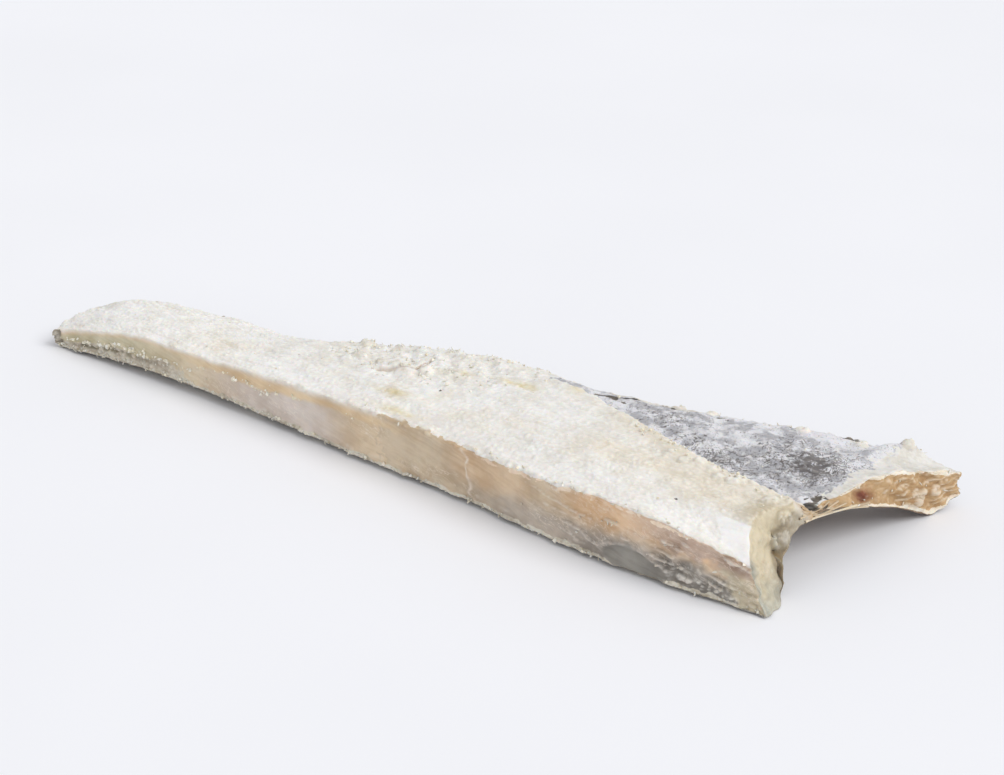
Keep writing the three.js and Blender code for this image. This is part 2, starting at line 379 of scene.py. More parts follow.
class Body:
    """The body's points with their shares, its faces and sides, and the distances from its rims."""

    def __init__(self):
        corners, self.quads = block_shell()
        s, c, h = (corners / GRID).T
        steps_in = np.sort(np.minimum(corners, GRID - corners), axis=1)[:, 1]
        self.links = Links(self.quads, len(corners))
        upper = fade(0.4, 0.6, h)
        tail_rim = fall(0.38, 0.46, s) * fade(0.01, 0.04, s) * (c < 0.3) * upper
        end_rim = fade(0.95, 0.97, s) * fade(0.2, 0.26, c) * fall(0.4, 0.46, c) * upper
        points = body_points(s, c, h)
        for (steps, rounds), where in ((EDGE_ROUNDING, 1), (RIM_ROUNDING, np.maximum(tail_rim, end_rim))):
            points = self.links.soften(points, 0.5 * (steps_in <= steps) * where, rounds)
        self.points = points
        self.x, self.y, self.z = points.T
        self.s, self.c, self.h = s, c, h
        self.normals = point_normals(points, self.quads)
        self.top, self.bottom = h == 1, h == 0
        self.near, self.far = c == 0, c == 1
        self.tail, self.head = s == 0, s == 1
        self.measure_rims()

    def measure_rims(self):
        """Distances in mm past a rim: above 0 down the side's own face, below 0 in on the flesh."""
        face_y, _, crest_y, outer_y = plan_lines(self.s)
        depth = (1 - self.h) * np.maximum(flesh_height(self.s, self.c), 1)
        inwards = np.where(self.c < 0.5, 2 * self.c * (crest_y - face_y), self.y - face_y)
        outwards = np.where(self.c > 0.5, (2 - 2 * self.c) * (outer_y - crest_y), 99)
        self.near_rim = np.where(self.near, depth, -inwards)
        self.far_rim = np.where(self.far, depth, -outwards)


# Places on the flesh, X and Y in mm. A spot also has its reach along and across, and its turn
FOLD_ROUTE = ((-28, 43), (-16, 49), (-4, 55))
CRACK_ROUTE = ((-6.7, 54), (-9, 62), (-11, 71))
EDGE_CRACK_ROUTE = ((84, 97), (92, 102), (104, 110), (114, 114), (136, 113.5))
FACET = ((212, 17), (226, 3), (250, -3), (250, 19))
BLACK_PATCH = (241, 63, 7, 8.5)
BLUSH = (128.5, 111.6, 9, 2.5)
GLASSY = (232, 30, 10, 15)
TAIL_TIP = (-256, 2, 6, 9)
YELLOW_SPOTS = ((46, 71, 8, 3), (56, 73, 7, 4), (-2, 26, 12, 4), (16, 10, 14, 4), (18, 66, 4, 2.5),
                (80, 84, 6, 4))
DARK_SPOTS = ((17.4, 66, 1, 1), (18.7, 42, 0.9, 0.9), (30, 70, 0.8, 0.8), (33, 67, 0.8, 0.8),
              (64, 93, 0.9, 0.9), (60, 90, 0.8, 0.8), (52, 84, 0.8, 0.8), (190, 16, 1, 0.8),
              (89, 87, 3, 2), (94, 101, 4, 1.6), (101, 100, 3, 1.2), (153, 117.5, 5, 1),
              (221.6, 136, 7, 1.2), (249, 4, 1.2, 1.2))
# Places on the cut face, X and Z in mm, and the reach each way of the areas of pale fibres
WHITE_CRACK_ROUTE = ((67, 36), (71, 29), (70, 22), (73, 16), (74, 9), (77, 2))
FIBRE_AREAS = ((0, 23, 17, 7), (48, 10, 26, 6), (-60, 16, 20, 6), (128, 14, 16, 6), (-112, 13, 26, 6))
LENS = {"x": 181, "z": 7.5, "half_length": 20, "half_height": 8, "turn": -0.12}
# Ragged steps along the cut face's upper rim, in mm along it and down it
STAIRS = {"from": 19, "length": 16, "depth": 3.4, "middle": 1.4}
# The brown-red spot on the flap's end, Y and Z in mm, and its reach each way
RED_SPOT = {"y": 90, "z": 29, "reach_y": 5, "reach_z": 3}


def turned(u, v, turn):
    cos, sin = math.cos(turn), math.sin(turn)
    return cos * u + sin * v, cos * v - sin * u


def spot(body, x, y, reach_x, reach_y, turn=0.0):
    """A soft round spot on the flesh, from 1 at its middle to 0."""
    along, across = turned(body.x - x, body.y - y, turn)
    return bell(along, 0, reach_x) * bell(across, 0, reach_y)


def line_distance(u, v, route):
    """Distance in the plane from a route of straight stretches."""
    best = np.full(len(u), 999.0)
    for (u0, v0), (u1, v1) in zip(route[:-1], route[1:]):
        span = np.array([u1 - u0, v1 - v0], float)
        part = limit(((u - u0) * span[0] + (v - v0) * span[1]) / (span @ span))
        best = np.minimum(best, np.hypot(u - u0 - part * span[0], v - v0 - part * span[1]))
    return best


def depth_inside(u, v, outline):
    """How deep a point lies inside a convex outline that runs anticlockwise, in mm."""
    depth = np.full(len(u), 999.0)
    for (u0, v0), (u1, v1) in zip(outline, outline[1:] + outline[:1]):
        length = math.hypot(u1 - u0, v1 - v0)
        depth = np.minimum(depth, ((u1 - u0) * (v - v0) - (v1 - v0) * (u - u0)) / length)
    return depth


def shelf_edge(points):
    """Torn layers of the cut face, from 0 under each layer to 1 at its edge."""
    level = (points[:, 2] + 0.2 * points[:, 0] + 5 * cloud(points, (30, 20, 10), 161)) / 5.5
    return (level % 1) ** 5 * fade(-0.1, 0.2, cloud(points, (12, 8, 5), 165))


def lens_distance(body):
    """Distance from the middle of the grey lens on the cut face, 1 along its outline."""
    along, across = turned(body.x - LENS["x"], body.z - LENS["z"], LENS["turn"])
    return np.hypot(along / LENS["half_length"], across / LENS["half_height"])


def make_masks(body):
    """How much of each kind of surface a point shows, from 0 to 1."""
    points, x, y, z = body.points, body.x, body.y, body.z
    s, c, h, top = body.s, body.c, body.h, body.top * 1.0
    patchy = cloud(points, 26, 21)
    blotchy = cloud(points, 11, 25)
    fine = cloud(points, 4, 31)
    m = SimpleNamespace()

    # The cut face
    on_side = 1 - (body.head | body.bottom)
    torn_rim = 3.5 * bell(s, 0.565, 0.03) + 2.5 * bell(s, 0.635, 0.02)
    down = STAIRS["depth"] * (1 - (x - STAIRS["from"]) / STAIRS["length"] % 1)
    stairs = fade(15, 20, x) * (down * fade(15, 20, x) * fall(66, 68, x) - STAIRS["middle"])
    past_rim = body.near_rim + 1.1 * blotchy + 1.2 * fine + torn_rim * (0.6 + blotchy) + stairs
    m.cut = fade(-0.8, 0.8, past_rim) * on_side * fade(0.5, 0.55, s)
    soft_rim = fade(-2.5, 5.5, body.near_rim + 1.8 * blotchy + 0.6 * fine)
    m.soft_cut = soft_rim * on_side * fall(0.57, 0.6, s)
    m.whole_cut = cut = limit(m.cut + m.soft_cut)
    below = np.maximum(body.near_rim, 0)
    deeper = fade(1, 5, below)
    band_end = 8 + 2.5 * bell(s, 0.34, 0.05) + 3 * blotchy + 1.5 * fine
    # A painted highlight along the cut face's upper rim
    ribbon = fade(0.64, 0.7, s) * fall(0.93, 0.96, s) * fall(2, 5.5, below + 2 * blotchy + fine)
    m.ribbon = cut * ribbon * fade(-0.3, 0.1, cloud(points, (12, 8, 2.4), 61))
    m.band = cut * deeper * fall(band_end - 1.5, band_end + 1.5, below) * fall(0.5, 0.6, s)
    m.olive = cut * deeper * fall(0.1, 0.32, s)
    m.pale = cut * fade(0.22, 0.34, s) * fall(0.42, 0.5, s) * fade(band_end - 1, band_end + 2, below)
    # The cut face's lower part is greyer flesh, painted darker towards the bottom as shade from the light
    # above
    low_line = 0.4 + 0.14 * fade(0.6, 0.8, s) + 0.12 * patchy + 0.1 * blotchy
    strength = 0.5 * fade(0.6, 0.66, s) + 0.5 * fade(0.77, 0.82, s) - 0.4 * bell(s, 0.755, 0.03)
    m.ochre = cut * strength * fade(-0.2, 0.2, h - low_line)
    m.low = cut * fade(0.6, 0.74, s) * fall(-0.2, 0.2, h - low_line)
    m.pink = cut * fade(0.84, 0.92, s) * fade(0.5, 0.7, h + 0.2 * fine)
    m.gloom = cut * fade(0.76, 0.86, s) * fall(0.2, 0.55, h + 0.2 * blotchy + 0.1 * fine)
    m.rocky = cut * fade(0.875, 0.915, s + 0.015 * blotchy) * fall(0.3, 0.55, h + 0.3 * blotchy)
    m.lens = fall(0.8, 1.0, lens_distance(body) + 0.12 * fine) * body.near
    tail_crust = fall(0.16, 0.26, s) * fall(0.35, 0.5, h + 0.12 * blotchy)
    tail_flesh = 0.8 * body.tail * fall(0.7, 0.95, h + 0.15 * fine)
    m.crust = limit(cut * tail_crust + tail_flesh)
    above_skin = z - np.maximum(curve(SKIN["cut_face"], s), 0)
    fringe_height = 2.8 + 1.6 * blotchy + 1.2 * fine
    m.fringe = cut * (1 - m.lens) * fall(fringe_height - 0.8, fringe_height + 0.8, above_skin)
    under_band = 0.45 * bell(below, band_end, 1.8) * (s > 0.2) * (s < 0.5)
    bead_row = bell(h, 0.52 + 0.08 * patchy, 0.07) * fall(0.18, 0.26, s) * fade(0.01, 0.04, s)
    m.beads = cut * limit(bead_row + under_band) * fade(-0.1, 0.3, fine + 0.4 * blotchy)
    m.groove = cut * bell(h, 0.34 + 0.06 * patchy, 0.08) * fall(0.1, 0.2, s) * fade(-0.3, 0.2, fine)
    m.torn = cut * fade(0.7, 0.85, s) * fade(0.12, 0.3, h) * (1 - m.lens)
    fibres = 0.55 * m.torn
    for area_x, area_z, reach_x, reach_z in FIBRE_AREAS:
        fibres = np.maximum(fibres, bell(x, area_x, reach_x) * bell(z, area_z, reach_z))
    m.fibres = cut * body.near * fibres * (0.8 + 0.5 * blotchy)
    crack_line = line_distance(x + 2.4 * noise(points, 4, 51), z, WHITE_CRACK_ROUTE)
    crack = bell(crack_line, 0, 0.8) * fade(-0.9, 0.4, noise(points, 3, 52))
    m.line = limit(crack * body.near + 0.8 * m.torn * shelf_edge(points))

    # The flap
    lining_edge = c - 0.53 - 0.03 * blotchy - 0.02 * fine + 0.05 * fall(0.66, 0.72, s)
    on_flap = fade(-0.008, 0.008, lining_edge) * fade(0.62, 0.64, s + 0.012 * blotchy)
    sliver = fall(0.735, 0.75, s) * fade(-7, -5, body.far_rim + 2 * fine)
    tissue = fade(236, 254, x - 0.1 * (y - 110) + 7 * blotchy + 3 * fine)
    at_edge = fade(-4, -1, -body.far_rim)
    m.lining = on_flap * (1 - sliver) * (1 - tissue) * (body.top | body.far) * at_edge
    dark_areas = spot(body, 222, 98, 26, 20) + 0.8 * spot(body, 176, 76, 36, 9, -0.3)
    dark_areas = dark_areas + 0.4 * spot(body, 120, 100, 24, 6)
    frosted = spot(body, 234, 141, 26, 12) + 0.7 * spot(body, 190, 128, 40, 8)
    m.dark = m.lining * limit(0.15 + 0.85 * dark_areas + 0.3 * blotchy - 0.3 * frosted)
    m.frost = m.lining * limit(frosted + 0.5 * patchy)
    m.tissue = on_flap * (tissue + sliver) * top

    # The flesh side
    # The bevel facet: smoother, whiter flesh with a painted highlight
    m.facet = fade(-0.6, 0.6, depth_inside(x, y, FACET) + 0.4 * fine) * top * (1 - cut)
    m.white = bell(body.near_rim, -9 - 3 * patchy, 6) * fade(0.4, 0.5, s) * top * (1 - cut)
    cream = limit(0.1 + 0.9 * patchy + 0.6 * blotchy) * fade(0.12, 0.3, s) * (1 - m.white)
    cream = cream * (1 - 0.7 * bell(s, 0.42, 0.08))
    head_cream = spot(body, 205, 33, 30, 10) + spot(body, 150, 40, 40, 10)
    step_cream = fade(0.7, 0.8, s) * bell(c, 0.48, 0.06)
    m.cream = (cream + (head_cream + step_cream) * (1 - m.facet)) * top
    yellow = sum(spot(body, *place) for place in YELLOW_SPOTS)
    m.yellow = (0.8 + 0.5 * fine) * yellow * top
    crack = bell(line_distance(x + noise(points, 3, 54), y, CRACK_ROUTE), 0, 0.9)
    # A painted shadow line along the fold, at the foot of the ledge beyond it; the crack is a brown stain
    fold_shade = 0.45 * bell(line_distance(x, y, FOLD_ROUTE), 0, 1.0)
    m.stain = limit(crack + fold_shade) * top
    m.blush = 1.2 * spot(body, *BLUSH) * top
    edge_crack = bell(line_distance(x, y + 1.5 * noise(points, 5, 55), EDGE_CRACK_ROUTE), 0, 0.9)
    specks = np.max([spot(body, *place) for place in DARK_SPOTS], axis=0)
    dark_rim = bell(body.far_rim, -0.4, 0.9) * fade(0.74, 0.78, s) * fall(0.93, 0.96, s)
    dark_marks = (edge_crack + specks + dark_rim * fade(0, 0.3, blotchy)) * top
    black_patch = fade(0.34, 0.6, spot(body, *BLACK_PATCH) * (0.5 + 1.1 * fade(-0.3, 0.35, fine)))
    black_patch = black_patch * (body.top | (body.head & (c > 0.48) & (c < 0.62)))
    m.black = limit(dark_marks + black_patch)

    # The ends and the skin
    loin_end = body.head * fall(0.47, 0.52, c)
    wrapped = fade(0.955, 0.98, s + 0.03 * blotchy + 0.02 * fine) * fall(0.55, 0.8, h) * body.near
    glassy = top * spot(body, *GLASSY) * (1 - m.facet)
    m.end = limit(loin_end + wrapped + glassy)
    m.ash = loin_end * limit(0.8 * fall(0.1, 0.5, h + 0.25 * blotchy) + bell(c, 0, 0.04))
    m.brown_end = 0.8 * loin_end * fade(0.27, 0.38, c + 0.06 * fine) * fall(0.5, 0.8, h + 0.2 * blotchy)
    m.tan = body.head * fade(0.48, 0.53, c)
    red_spot = bell(y, RED_SPOT["y"], RED_SPOT["reach_y"]) * bell(z, RED_SPOT["z"], RED_SPOT["reach_z"])
    m.red = body.head * limit(red_spot * (1.1 + fine))
    film = fall(0.06, 0.2, h + 0.15 * blotchy) + fade(0.9, 1.0, h + 0.1 * fine)
    m.film = m.tan * limit(film) * fade(0.6, 0.66, c)
    skin_reach = 1.6 * bell(s, 0.14, 0.025) + 2 * bell(s, 0.36, 0.06)
    far_skin = fade(-0.8, 0.4, body.far_rim + fine + skin_reach) * fall(0.6, 0.64, s)
    far_skin = far_skin + body.far * fall(0.35, 0.6, h + 0.3 * fine)
    tail_skin = body.tail * fall(0.1, 0.25, h + 0.15 * fine)
    tail_skin = tail_skin + fade(0.3, 0.6, spot(body, *TAIL_TIP) + 0.3 * fine) * (1 - top)
    m.skin = limit(body.bottom + far_skin * (1 - body.bottom) + tail_skin)
    # The flap's underside painted dark warm brown: painted shade under the flap's arch
    m.under = body.bottom * fade(0.42, 0.5, c) * fade(0.5, 0.6, s)
    return m


# Fine relief of each kind of surface, in mm outwards

def flesh_relief(points):
    streaks = cloud(points, (7, 2.6, 3), 131)
    grain = chunks(points, (3.4, 2.8, 2.8), 101)
    rough = cloud(points, 10, 121, 4)
    creases = fall(0, 0.1, np.abs(cloud(points, (34, 9, 30), 141, 2)))
    return 0.2 * streaks + 0.75 * grain + 0.8 * rough - 0.35 * creases


def mound_relief(points):
    crumbs = fade(-0.4, 0.3, cloud(points, 16, 113)) * chunks(points, (6, 4.4, 4.4), 111)
    grain = chunks(points, (3.4, 2.6, 2.6), 117)
    return 0.6 * crumbs + 0.6 * grain + 1.1 * cloud(points, 7, 125, 4) - 0.6


def cut_relief(points):
    x, y, z = points.T
    slanted = np.stack([x - 0.2 * z, y, z + 0.2 * x], axis=1)
    return 0.12 * cloud(slanted, (26, 10, 2.2), 151) + 0.5 * cloud(points, 13, 155)


def rim_relief(points):
    return 1.1 * chunks(points, (6, 4, 3), 157) - 0.5


def torn_relief(points):
    return 2.2 * shelf_edge(points) + 0.9 * cloud(points, 6, 167)


def rocky_relief(points):
    return 1.7 * cloud(points, (9, 6, 6), 251, 4) + 0.8 * chunks(points, (3.2, 2.6, 2.4), 255) - 0.5


def crust_relief(points):
    return 1.2 * chunks(points, (3.6, 2.6, 2.6), 211) + 0.5 * cloud(points, 3, 215)


def end_relief(points):
    return 0.35 * cloud(points, (6, 4, 20), 171) + 0.1 * chunks(points, 3.4, 175)


def tan_relief(points):
    """Torn layers that grow crumbly towards the flap's outer edge."""
    crumbly = fade(100, 125, points[:, 1])
    level = (points[:, 2] + 1.8 * cloud(points, (18, 18, 6), 181)) / 3.6
    layers = (0.5 + 0.5 * crumbly) * fade(-0.5, 0.2, cloud(points, 9, 187)) * (level % 1) ** 3
    flaky = 0.9 * crumbly * cloud(points, (9, 9, 4), 189, 4)
    return layers + flaky + (0.3 + 0.5 * crumbly) * chunks(points, (3.8, 3.4, 2.4), 185) - 0.5


def edge_relief(points):
    return 1.6 * chunks(points, (6, 5, 4), 191) + 0.7 * cloud(points, 3, 195) - 0.6


def lining_relief(points):
    wrinkles = fall(0, 0.14, np.abs(cloud(points, (24, 11, 18), 141)))
    return 0.6 * cloud(points, 8, 205, 4) + 0.45 * chunks(points, (4, 3, 3), 201) - 0.45 * wrinkles


def skin_relief(points):
    return 0.3 * cloud(points, 12, 225) + 0.15 * cells(points, (2.6, 1.8, 2), 221)[0]


def step_relief(points):
    crumbs = fade(-0.5, 0.3, cloud(points, 14, 233)) * chunks(points, (6, 4.2, 4), 231)
    return 1.3 * crumbs + 0.5 * chunks(points, 2.6, 237) + 1.0 * cloud(points, 6, 235, 4) - 0.6


def crag_places():
    """Each crag and lump's centre, half sizes, turn and share that stands out, from the solid's draws."""
    state = CRAG_SEED

    def draw():
        nonlocal state
        state = state * 16807 % 2147483647
        return state / 2147483647

    for count, reach_s, reach_c, reach_h, size, stands_out in CRAG_ROWS:
        for i in range(count):
            shares = [lerp(*reach_s, (i + 0.2 + 0.6 * draw()) / count)]
            shares += [lerp(*reach, draw()) for reach in (reach_c, reach_h)]
            scale = lerp(*CRAG_SCALE, draw())
            turn = lerp(*CRAG_TURN, draw())
            for _ in range(CRAG_CORNERS):
                draw()
            yield body_points(*np.array(shares)[:, None])[0], scale * np.array(size), turn, stands_out
    for shares, size in LUMPS:
        yield smooth_points(*np.array(shares)[:, None])[0], np.array(size), 0.0, 1.0


def crag_relief(body):
    """How far each crag stands out of the body, along the surface's own direction."""
    out = np.zeros(len(body.s))
    for centre, size, turn, stands_out in crag_places():
        near = np.flatnonzero(np.all(np.abs(body.points - centre) < 1.3 * size.max(), axis=1))
        cos, sin = math.cos(turn), math.sin(turn)
        across = np.array([[cos, sin, 0], [-sin, cos, 0], [0, 0, 1]])
        place = (body.points[near] - centre) @ across.T / size
        heading = body.normals[near] @ across.T / size
        a = (heading ** 2).sum(axis=1)
        b = (place * heading).sum(axis=1)
        gap = (place ** 2).sum(axis=1) - 1
        rise = np.where(gap < 0, (np.sqrt(np.maximum(b * b - a * gap, 0)) - b) / a, 0)
        out[near] = np.maximum(out[near], stands_out * rise)
    return out


# A relief is left out where its weight is under the least, and crags where they rise less, in mm
LEAST_WEIGHT = 0.003
LEAST_CRAG = 0.05
# A point is in a hollow or on a ridge by how far it lies from the smoothed relief, in mm
# From these the colour gets painted shade in the hollows and a painted highlight on the ridges
TONE_DEPTH = 0.5
TONE_ROUNDS = 8


def add_relief(body, m):
    """Moves the points out or in along their normals by the fine shape of each kind of surface."""
    s, c = body.s, body.c
    open_flesh = (1 - m.whole_cut) * (1 - m.lining) * body.top
    fold = line_distance(body.x, body.y, FOLD_ROUTE)
    rim = bell(body.near_rim, 0, 2.2) * (1 - body.head) * (1 - m.facet)
    step = (0.4 + 0.6 * fade(0.86, 0.93, s)) * fade(0.7, 0.8, s) * bell(c, 0.495, 0.035) * body.top
    reliefs = (
        (open_flesh * (1 - 0.85 * m.facet), flesh_relief),
        (open_flesh * on_mound(s, c) * fade(2, 9, fold), mound_relief),
        (m.whole_cut, cut_relief),
        (rim * fade(0.42, 0.5, s), rim_relief),
        (m.torn, torn_relief),
        (np.maximum(np.maximum(m.crust, 1.5 * m.beads), 0.8 * m.fringe), crust_relief),
        (m.rocky, rocky_relief),
        (m.end, end_relief),
        (m.tan, tan_relief),
        (np.maximum(body.far, 0.6 * body.tail), edge_relief),
        (m.lining, lining_relief),
        (body.bottom * fade(1, 6, body.z), skin_relief),
        (step, step_relief),
    )
    out = np.zeros(len(s))
    for weight, relief in reliefs:
        shows = weight > LEAST_WEIGHT
        out[shows] += weight[shows] * relief(body.points[shows])
    beyond_fold = body.y - 46 - 0.28 * (body.x + 20)
    out += body.top * 1.8 * bell(fold, 0, 6) * fade(-0.5, 1.5, beyond_fold)
    out -= 2.0 * m.stain + 1.2 * m.black * (1 - m.lining)
    ring = lens_distance(body)
    out += body.near * (0.35 * bell(ring, 1, 0.1) - 0.6 * fall(0.7, 1, ring))
    out += 0.4 * m.line - 0.8 * m.groove
    sunk = 0.7 * body.near * fade(0.08, 0.12, s) * fall(0.86, 0.9, s)
    crags = crag_relief(body) * (1 - m.lens) * (1 - sunk)
    m.crag = fade(0.2, 1.2, crags) * (1 - body.bottom) * (1 - m.end) * (1 - 0.8 * m.tan) * (1 - sunk)
    m.crag = m.crag * (1 - m.skin) * (1 - m.rocky)
    craggy = crags > LEAST_CRAG
    out[craggy] += crags[craggy] * (0.55 + 0.6 * chunks(body.points[craggy], (3.4, 2.6, 2.6), 241))
    smooth = out
    for _ in range(TONE_ROUNDS):
        smooth = body.links.mean(smooth)
    # Masks of painted shade for the hollows and of a painted highlight for the ridges
    m.hollow = (smooth - out) / TONE_DEPTH
    m.ridge = limit((out - smooth) / TONE_DEPTH) * (1 - m.red)
    return body.points + body.normals * out[:, None]


def to_frame(points):
    """From the fish's millimetres to the frame: its whole box goes to the CAD node's box."""
    low, high = (np.array(corner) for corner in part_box(NODE))
    placed = low + (points - FISH_LOW) * (high - low) / (FISH_HIGH - FISH_LOW)
    placed[:, 2] = np.clip(placed[:, 2], low[2], high[2])
    return placed


def add_object(name, data):
    item = bpy.data.objects.new(name, data)
    bpy.context.scene.collection.objects.link(item)
    return item


def mesh_object(name, points, faces, material, smooth=True):
    mesh = bpy.data.meshes.new(name)
    mesh.from_pydata(points.tolist(), [], faces.tolist())
    mesh.polygons.foreach_set("use_smooth", np.full(len(faces), smooth))
    mesh.validate()
    mesh.materials.append(material)
    return add_object(name, mesh)


def set_numbers(piece, name, values):
    """Gives each point of a piece a number that its material reads."""
    attribute = piece.data.attributes.new(name, "FLOAT", "POINT")
    attribute.data.foreach_set("value", np.ascontiguousarray(values, np.float32))


# Materials

def srgb(red, green, blue):
    """A colour given as it looks on screen, from 0 to 255, as linear light."""
    def linear(value):
        value = value / 255
        return value / 12.92 if value <= 0.04045 else ((value + 0.055) / 1.055) ** 2.4
    return (linear(red), linear(green), linear(blue), 1.0)


class Shader:
    """One material's node tree, with a call for each kind of node that it uses. Sizes are in metres."""

    def __init__(self, name):
        self.material = bpy.data.materials.new(name)
        self.material.use_nodes = True
        self.tree = self.material.node_tree
        self.coordinates = self.tree.nodes.new("ShaderNodeTexCoord").outputs["Object"]

    def plug(self, sockets, values):
        """Gives each socket named or numbered a constant, or joins another node's output to it."""
        for key, value in values.items():
            if isinstance(value, bpy.types.NodeSocket):
                self.tree.links.new(value, sockets[key])
            else:
                sockets[key].default_value = value

    def node(self, kind, values, **settings):
        node = self.tree.nodes.new(kind)
        for key, value in settings.items():
            setattr(node, key, value)
        self.plug(node.inputs, values)
        return node

    def mask(self, name):
        return self.node("ShaderNodeAttribute", {}, attribute_name=name).outputs["Fac"]

    def noise(self, size, detail=3.0, roughness=0.5, distortion=0.0, turn=(0, 0, 0)):
        size = size if isinstance(size, tuple) else (size, size, size)
        values = {"Vector": self.coordinates, "Scale": size, "Rotation": turn}
        place = self.node("ShaderNodeMapping", values, vector_type="TEXTURE").outputs["Vector"]
        values = {"Vector": place, "Scale": 1, "Detail": detail, "Roughness": roughness,
                  "Distortion": distortion}
        return self.node("ShaderNodeTexNoise", values).outputs["Fac"]

    def range(self, value, low, high, start=0.0, end=1.0):
        values = {"Value": value, "From Min": low, "From Max": high, "To Min": start, "To Max": end}
        return self.node("ShaderNodeMapRange", values, interpolation_type="SMOOTHSTEP").outputs["Result"]

    def math(self, operation, *values):
        return self.node("ShaderNodeMath", dict(enumerate(values)), operation=operation).outputs[0]

    def times(self, a, b):
        return self.math("MULTIPLY", a, b)

    def total(self, *parts):
        """The sum of some values, each times its weight."""
        total = 0.0
        for value, weight in parts:
            total = self.math("MULTIPLY_ADD", value, weight, total)
        return total

    def threads(self, size, width, detail=4, roughness=0.6, distortion=1.0, turn=(0, 0, 0)):
        """Thin winding lines, 1 along each line's middle."""
        bend = self.math("SUBTRACT", self.noise(size, detail, roughness, distortion, turn), 0.5)
        return self.range(self.math("ABSOLUTE", bend), 0.0, width, 1.0, 0.0)

    def mix(self, factor, a, b, blend="MIX"):
        """Mixes two colours. The node's inputs 6 and 7 and its output 2 are its colours."""
        values = {0: factor, 6: a, 7: b}
        return self.node("ShaderNodeMix", values, data_type="RGBA", blend_type=blend).outputs[2]

    def relief_mix(self, colour, name, amount, other, blend="MIX"):
        """Mixes in another colour where the mask of painted shade in hollows or of a painted highlight on
        ridges shows.
        """
        return self.mix(self.times(self.mask(name), amount), colour, other, blend)

    def finish(self, colour, roughness, **others):
        """Joins colour, roughness and any other inputs, named with _ for a space, and ends."""
        values = {name.replace("_", " "): value for name, value in others.items()}
        values.update({"Base Color": colour, "Roughness": roughness})
        self.plug(self.tree.nodes["Principled BSDF"].inputs, values)
        return self.material


# Colour of each kind of surface, where it is lightest and where it is darkest. The first is the
# salted flesh under all. Each of the others is a mask's name, and they are laid on in this order.
COLOURS = {
    "salt": ((245, 244, 240), (230, 227, 219)),
    "cream": ((240, 234, 221), (226, 217, 199)),
    "white": ((244, 242, 237), (234, 230, 223)),
    "yellow": ((232, 222, 188), (206, 190, 148)),
    "blush": ((228, 206, 194), (206, 180, 168)),
    # Whiter flesh of the bevel facet, with a painted highlight
    "facet": ((247, 246, 243), (236, 234, 230)),
    "soft_cut": ((232, 212, 182), (208, 184, 150)),
    "cut": ((218, 200, 172), (194, 172, 142)),
    "band": ((238, 214, 176), (214, 186, 146)),
    "olive": ((219, 210, 182), (190, 179, 145)),
    "pale": ((226, 214, 203), (208, 194, 181)),
    # Greyer flesh of the cut face's lower part, with painted shade
    "low": ((200, 187, 171), (166, 154, 141)),
    "ochre": ((240, 206, 166), (214, 176, 134)),
    "pink": ((209, 184, 164), (165, 140, 121)),
    # Painted highlight along the cut face's upper rim
    "ribbon": ((246, 228, 204), (226, 200, 170)),
    # Grey base of the cut face near the head, darker towards the bottom with painted shade
    "gloom": ((166, 159, 150), (118, 112, 105)),
    "lens": ((162, 158, 149), (136, 132, 124)),
    "rocky": ((158, 152, 143), (122, 116, 108)),
    "crust": ((222, 214, 196), (184, 172, 152)),
    "fringe": ((232, 226, 210), (190, 180, 160)),
    "groove": ((150, 142, 116), (104, 96, 74)),
    "beads": ((240, 232, 206), (220, 207, 172)),
    "line": ((246, 234, 218), (230, 214, 196)),
    "tissue": ((229, 227, 221), (208, 204, 194)),
    "lining": ((226, 226, 229), (176, 176, 180)),
    "tan": ((200, 169, 127), (172, 139, 97)),
    "film": ((240, 232, 216), (222, 208, 184)),
    "end": ((212, 200, 172), (190, 178, 152)),
    "ash": ((190, 190, 175), (154, 151, 137)),
    "brown_end": ((168, 156, 134), (136, 122, 100)),
    "crag": ((242, 238, 228), (214, 208, 194)),
    "red": ((150, 92, 62), (112, 58, 38)),
    "skin": ((172, 164, 148), (116, 108, 94)),
    # The flap's underside, painted dark as the shade under its arch
    "under": ((132, 106, 82), (88, 68, 50)),
    # Brown of the crack's stain, also the painted shadow line along the fold
    "stain": ((190, 156, 126), (126, 92, 70)),
    "black": ((112, 104, 94), (50, 46, 44)),
}
LAYERS = tuple(COLOURS)[1:]
CRISP_LAYERS = ("facet", "cut", "ribbon", "crust", "fringe", "beads", "lining", "film", "black", "skin")
CUT_LAYERS = ("soft_cut", "cut", "band", "olive", "pale", "ochre", "low", "pink", "lens")
# Masks that the material reads beside the layers
FINE_MASKS = ("dark", "frost", "fibres", "hollow", "ridge")
# Painted shade in some layers' hollows and a painted highlight on their ridges: each colour with its
# strength
RELIEF_COLOURS = {
    "tan": (srgb(156, 116, 78), 0.35, srgb(232, 214, 180), 0.2),
    "rocky": (srgb(116, 110, 102), 0.5, srgb(228, 223, 211), 0.7),
}
DARK_THREADS = srgb(78, 71, 67)
FIBRE_TURN = (0, 0.2, 0)
SLANT_TURN = (0, 0.45, 0)


def layer_colour(shader, name, tone):
    """A layer's colour, darkest where the tone is 0 and lightest where it is 1."""
    light, shade = (srgb(*colour) for colour in COLOURS[name])
    colour = shader.mix(tone, shade, light)
    if name in RELIEF_COLOURS:
        # Painted shade in the hollows and a painted highlight on the ridges
        deep, deep_strength, raised, raised_strength = RELIEF_COLOURS[name]
        colour = shader.relief_mix(colour, "hollow", deep_strength, deep)
        colour = shader.relief_mix(colour, "ridge", raised_strength, raised)
    return colour


def lining_colour(shader, fine):
    """Frosted grey under a net of dark threads, which is closer where the mask dark is high."""
    patches = shader.total((shader.noise(0.009, 5, 0.6), 1), (shader.mask("frost"), 0.2))
    frost = layer_colour(shader, "lining", shader.range(patches, 0.42, 0.6))
    amount = shader.total((fine, 0.45), (shader.threads(0.007, 0.03), 0.16),
                          (shader.threads(0.0035, 0.045), 0.16), (shader.mask("dark"), 0.28))
    return shader.mix(shader.range(amount, 0.447, 0.507, 0.0, 0.85), frost, DARK_THREADS)


